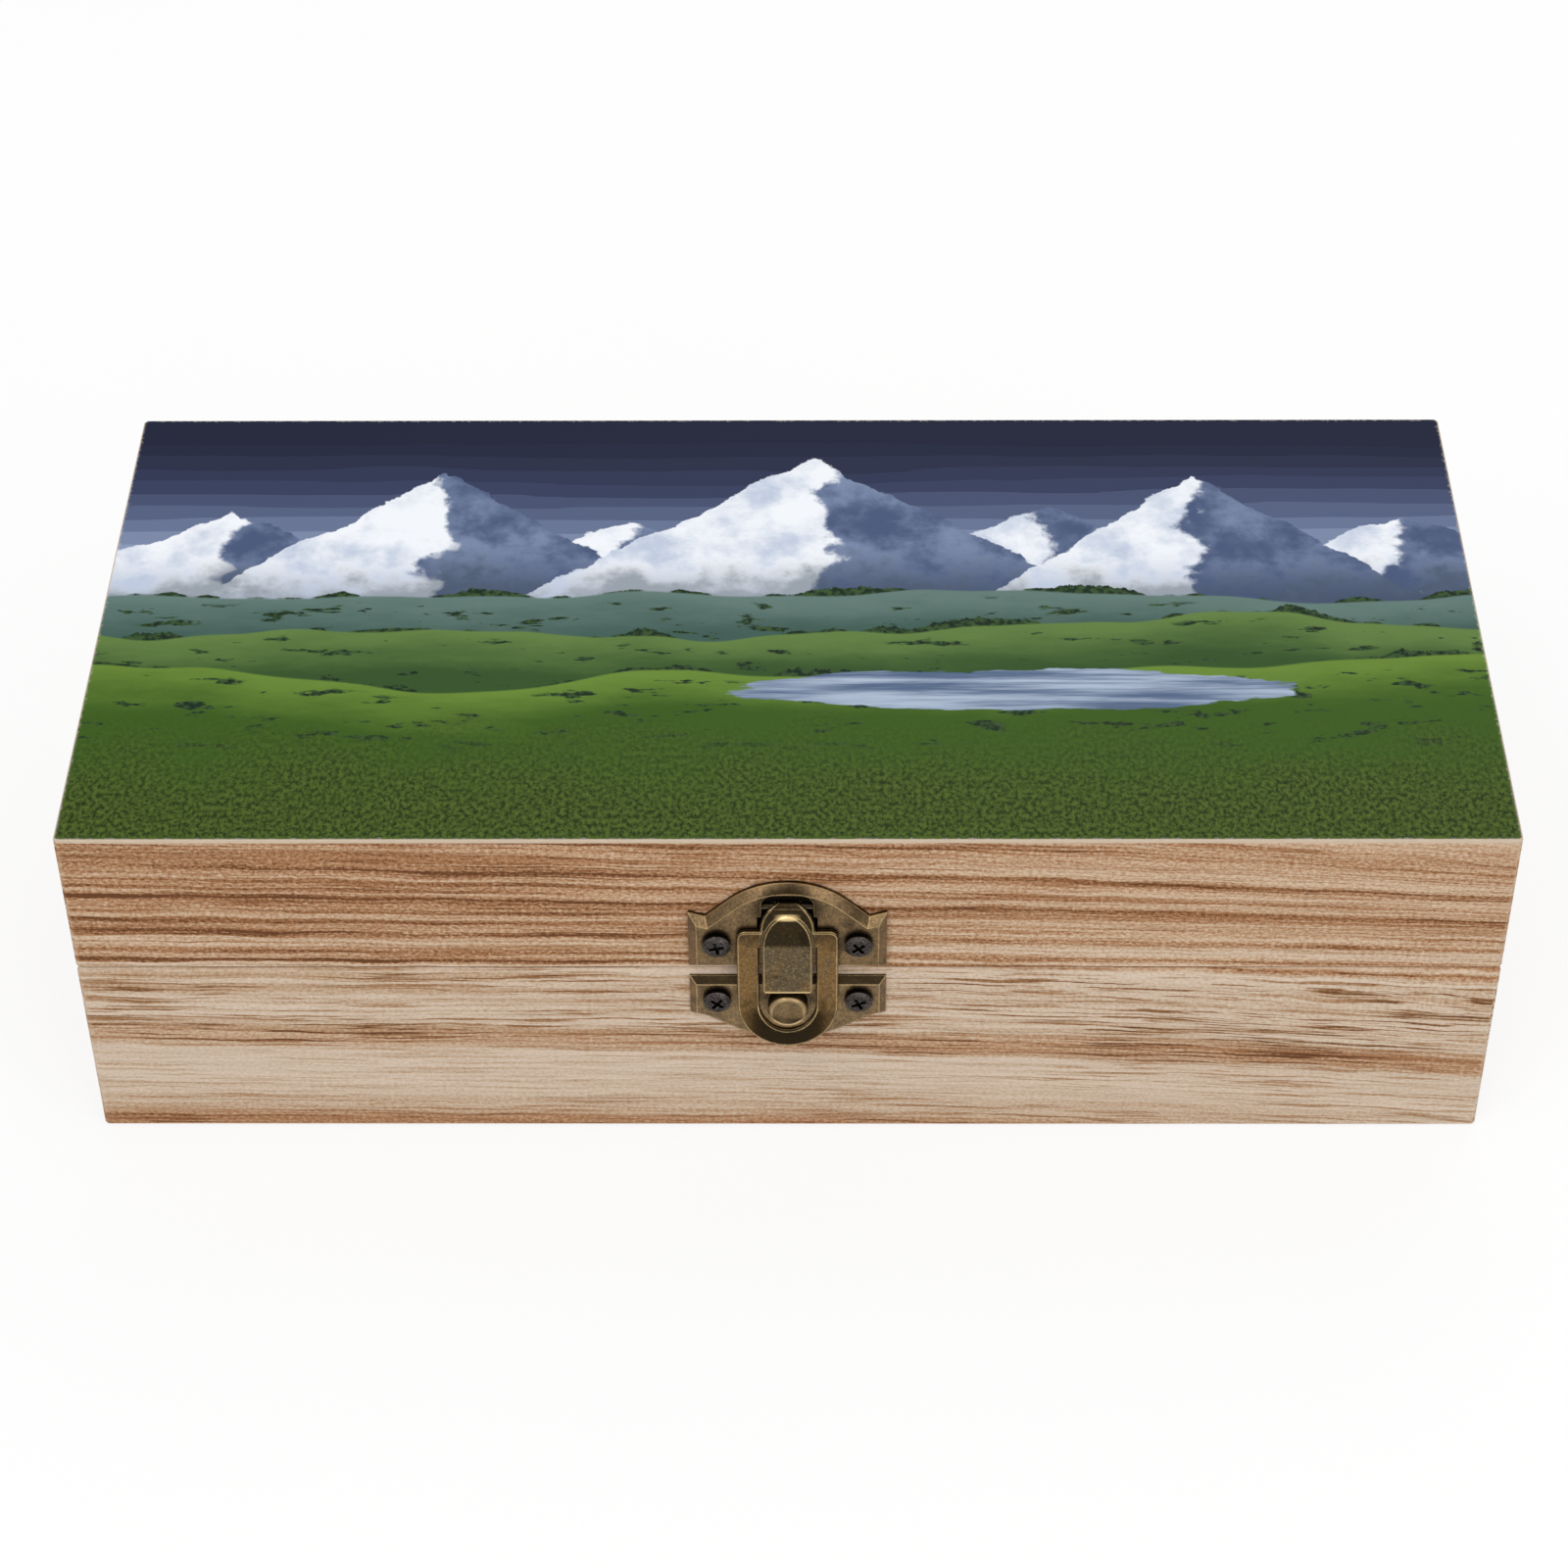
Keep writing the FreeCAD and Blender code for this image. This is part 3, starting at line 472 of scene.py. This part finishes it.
def landscape(name):
    """Printed sheet: grass, a lake, wooded hills, snowy peaks and a banded evening sky.
    The cut edges of the sheet show its pale core."""
    s = Shader(name)
    x, y, z = s.millimetres()
    facing = s.facing()[2]

    height = y + (s.noise(x * 0.012, y * 0.05, 3.0) - 0.5) * 7.0
    band = s.math("SNAP", height + s.noise(x * 0.02, y * 0.4, 8.0, 3) * 3.0, SKY_STEP)
    picture = s.ramp(s.smooth(band, 2.0, 46.0), SKY_TONES)
    for peak in PEAKS:
        picture = paint_peak(s, picture, x, y, *peak)
    for count, hill in enumerate(HILLS):
        picture = paint_hill(s, picture, x, y, count, *hill)

    shore = (s.noise(x * 0.06, y * 0.2, 11.0, 4, 0.6) - 0.5) * 1.1
    across = (x - LAKE_CENTRE[0]) * (1 / LAKE_REACH[0])
    along = (y - LAKE_CENTRE[1]) * (1 / LAKE_REACH[1])
    lake = s.smooth(across * across + along * along + shore, 0.80, 0.74)
    glint = s.noise(x * 0.03, y * 0.55, 13.0, 4, 0.6)
    water = s.mix(s.smooth(glint, 0.36, 0.68), srgb(84, 102, 132), srgb(172, 186, 206))
    picture = s.mix(lake, picture, water)

    blades = s.noise(x * 1.5, y * 1.1, 4.0, 4, 0.7)
    patches = s.noise(x * 0.05, y * 0.09, 6.0, 4, 0.6)
    near = s.smooth(y + (patches - 0.5) * 26.0, -20.0, -44.0)
    grass = s.mix(s.smooth(blades, 0.36, 0.64), srgb(26, 39, 12), srgb(84, 102, 42))
    picture = s.mix(near * 0.9, picture, grass)

    rim = s.smaller(HALF_WIDTH - abs(x), HALF_DEPTH - abs(y))
    worn = s.smooth(rim + (blades - 0.5) * 2.0, 0.5, 0.1)
    picture = s.mix(worn * 0.4, picture, srgb(200, 190, 176))
    core = s.mix(s.noise(x * 0.4, y * 0.4, z * 6.0, 3), srgb(210, 194, 174), srgb(184, 164, 142))
    colour = s.mix(s.smooth(facing, 0.80, 0.95), core, picture)

    weave = s.noise(x * 3.2, y * 3.2, z)
    roughness = s.smooth(weave + blades * 0.4, 0.4, 1.0, 0.36, 0.50)
    normal = s.bump(weave, 0.02, 0.5)
    return s.finish(base_color=colour, roughness=roughness, normal=normal, specular_ior_level=0.04)


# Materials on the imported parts. The base and lid walls of one side are one board, so their grain runs on.
front_wood = wood("wood_front", "xzy", (0.0, 0.0, HALF_DEPTH), shaded=cutout_painted_shadow)
back_wood = wood("wood_back", "xzy", (31.0, 9.0, 130.0))
left_wood = wood("wood_left", "yzx", (-40.0, 4.0, 200.0))
right_wood = wood("wood_right", "yzx", (60.0, 14.0, -90.0))
panel_wood = wood("wood_panel", "xyz", (12.0, 70.0, 17.0), 0.6)
print_sheet = landscape("picture_print")
plate_bronze = bronze("bronze_plate", BRONZE_DULL, BRONZE_WARM, BRONZE_GOLD, 0.30, arch_painted_shade)
catch_bronze = bronze("bronze_catch", srgb(116, 97, 72), srgb(138, 114, 82), srgb(222, 190, 138),
                      painted_highlight=nose_painted_highlight)
hinge_bronze = bronze("bronze_hinge", BRONZE_DULL, BRONZE_WARM, BRONZE_GOLD, 0.30)
hasp_bronze = bronze("bronze_hasp", srgb(101, 88, 66), srgb(127, 98, 61), srgb(226, 196, 142),
                     painted_shade=lip_painted_shade, painted_highlight=tongue_painted_highlight, warmth=arm_warmth)
pin_bronze = bronze("bronze_pin", srgb(120, 108, 90), srgb(140, 122, 94), srgb(190, 168, 130))
screw_steel = black_steel("steel_black")

finishes = {
    "base_front_wall": front_wood, "lid_front_wall": front_wood,
    "base_back_wall": back_wood, "lid_back_wall": back_wood,
    "base_left_wall": left_wood, "lid_left_wall": left_wood,
    "base_right_wall": right_wood, "lid_right_wall": right_wood,
    "base_bottom_panel": panel_wood, "lid_top_panel": panel_wood,
    "lid_picture_sheet": print_sheet,
    "catch_plate": catch_bronze, "hasp_plate": plate_bronze, "hasp": hasp_bronze,
}
for name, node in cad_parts.items():
    if name.endswith("_screws"):
        material = screw_steel
    elif name.endswith("_pin"):
        material = pin_bronze
    elif name.endswith("_leaf"):
        material = hinge_bronze
    else:
        material = finishes[name]
    node.data.materials.clear()
    node.data.materials.append(material)


# Studio, in metres: a white floor that keeps the shadow, soft lamps and a white surround.
FLOOR_HALF = 4.0
SURROUND_LEVEL = 0.50
LAMP_SIZE = 1.0
LAMP_DISTANCE = 1.6
LAMP_TARGET = Vector((0, 0, 0.03))

# Lamps: name, azimuth and elevation in degrees, and share of a plain white light on a face turned to it.
LAMPS = (
    ("key_lamp", -35, 52, 0.36),
    ("fill_lamp", 40, 35, 0.26),
    ("back_lamp", 165, 50, 0.22),
)


def studio_floor():
    """A matt floor that the camera sees as nearly white, and as white far from the box."""
    corners = [(-FLOOR_HALF, -FLOOR_HALF, 0), (FLOOR_HALF, -FLOOR_HALF, 0),
               (FLOOR_HALF, FLOOR_HALF, 0), (-FLOOR_HALF, FLOOR_HALF, 0)]
    mesh = bpy.data.meshes.new("floor")
    mesh.from_pydata(corners, [], [(0, 1, 2, 3)])
    floor = bpy.data.objects.new("floor", mesh)
    bpy.context.scene.collection.objects.link(floor)
    s = Shader("floor_white")
    x, y, z = s.millimetres()
    share = s.smooth(s.distance(x, y), 350.0, 1200.0, 0.8, 1.0)
    grain = s.noise(x * 0.02, y * 0.02, z * 0.02)
    white = s.mix(grain, srgb(250, 250, 250), srgb(253, 253, 253))
    matt = s.node("ShaderNodeBsdfDiffuse", {"Color": white})
    glow = s.node("ShaderNodeEmission", {"Color": WHITE, "Strength": 1.0})
    both = s.node("ShaderNodeMixShader", {0: s.seen() * share, 1: matt, 2: glow})
    s.put(s.tree.nodes["Material Output"].inputs["Surface"], both)
    mesh.materials.append(s.material)


def soft_lamp(name, azimuth, elevation, level):
    """A square soft lamp aimed at the box."""
    lamp = bpy.data.lights.new(name, "AREA")
    lamp.shape = "SQUARE"
    lamp.size = LAMP_SIZE
    lamp.energy = level * (math.pi * LAMP_DISTANCE) ** 2
    turn, rise = math.radians(azimuth), math.radians(elevation)
    out = Vector((math.sin(turn) * math.cos(rise), -math.cos(turn) * math.cos(rise), math.sin(rise)))
    rig = bpy.data.objects.new(name, lamp)
    rig.location = LAMP_TARGET + out * LAMP_DISTANCE
    rig.rotation_euler = out.to_track_quat("Z", "Y").to_euler()
    bpy.context.scene.collection.objects.link(rig)


def surround():
    """The studio's own light, seen as white by the camera and in reflections."""
    world = bpy.data.worlds.new("studio")
    world.use_nodes = True
    bpy.context.scene.world = world
    nodes = Nodes(world.node_tree)
    background = nodes.tree.nodes["Background"]
    nodes.put(background.inputs["Color"], WHITE)
    nodes.put(background.inputs["Strength"], nodes.smooth(nodes.seen(), 0.0, 1.0, SURROUND_LEVEL, 1.0))


studio_floor()
surround()
for lamp in LAMPS:
    soft_lamp(*lamp)

# Camera at the photograph's place, fitted to the box's corners: metres, degrees, and the lens in mm.
CAMERA_PLACE = (0.00406, -0.44037, 0.42512)
CAMERA_PITCH = 42.225
CAMERA_YAW = -0.646
CAMERA_ROLL = -0.456
CAMERA_LENS = 86.01
CAMERA_SENSOR = 36.0
CAMERA_NEAREST = 0.01

camera = bpy.data.cameras.new("camera")
camera.sensor_width = CAMERA_SENSOR
camera.lens = CAMERA_LENS
camera.clip_start = CAMERA_NEAREST
viewer = bpy.data.objects.new("camera", camera)
viewer.matrix_world = (
    Matrix.Translation(CAMERA_PLACE)
    @ Matrix.Rotation(math.radians(-CAMERA_YAW), 4, "Z")
    @ Matrix.Rotation(math.radians(90 - CAMERA_PITCH), 4, "X")
    @ Matrix.Rotation(math.radians(CAMERA_ROLL), 4, "Z")
)
bpy.context.scene.collection.objects.link(viewer)
bpy.context.scene.camera = viewer
bpy.context.scene.view_settings.view_transform = "Standard"
